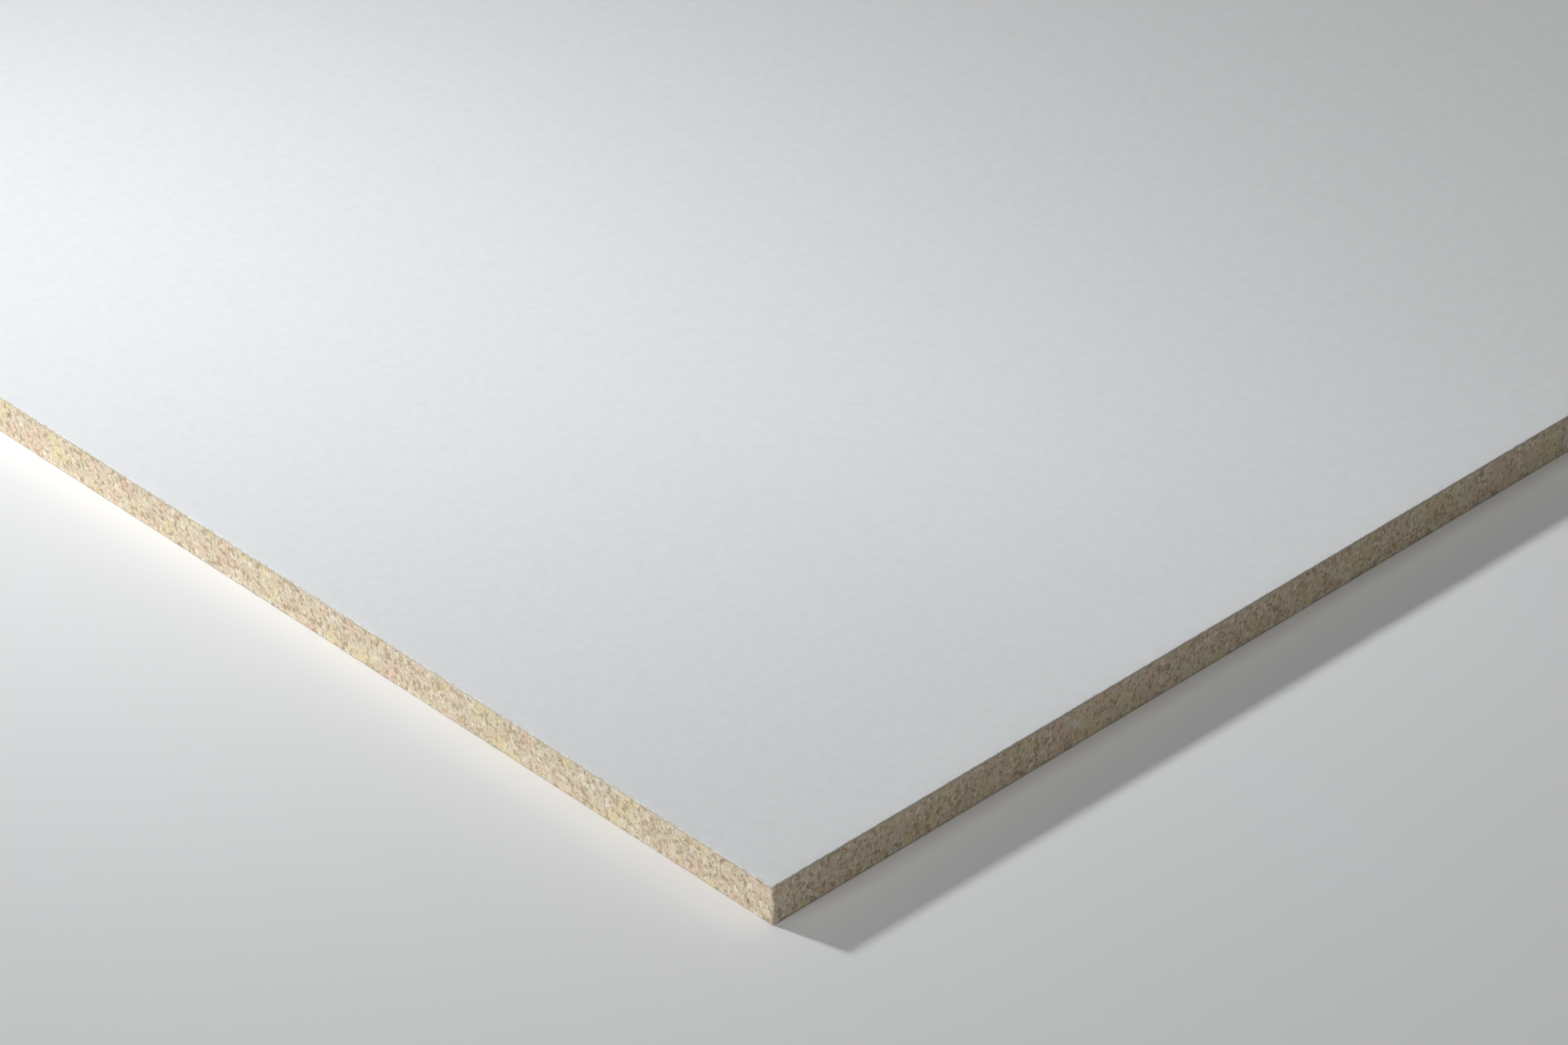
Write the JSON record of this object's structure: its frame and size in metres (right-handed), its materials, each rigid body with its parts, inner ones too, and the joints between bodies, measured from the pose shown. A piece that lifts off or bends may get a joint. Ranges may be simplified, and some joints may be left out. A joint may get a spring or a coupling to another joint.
{
  "type": "ceiling tile",
  "caption": "Square lay-in ceiling tile of pressed mineral fibre with raw square-cut board edges and a smooth white fleece facing on its visible face.",
  "frame": {"origin": "centre of the tile's back face, which lies on the floor when the tile is stored", "axes": "+Z out of the white visible face, +X along the module's length, +Y along its width"},
  "size_m": [0.594, 0.594, 0.015],
  "materials": {
    "mineral_board": "raw pressed mineral fibre, cream, matt and granular where it is sawn",
    "face_fleece": "white coated glass-fibre fleece, smooth and matt"
  },
  "bodies": {
    "root": {"mineral_board": "mineral_board", "face_fleece": "face_fleece"}
  },
  "joints": []
}
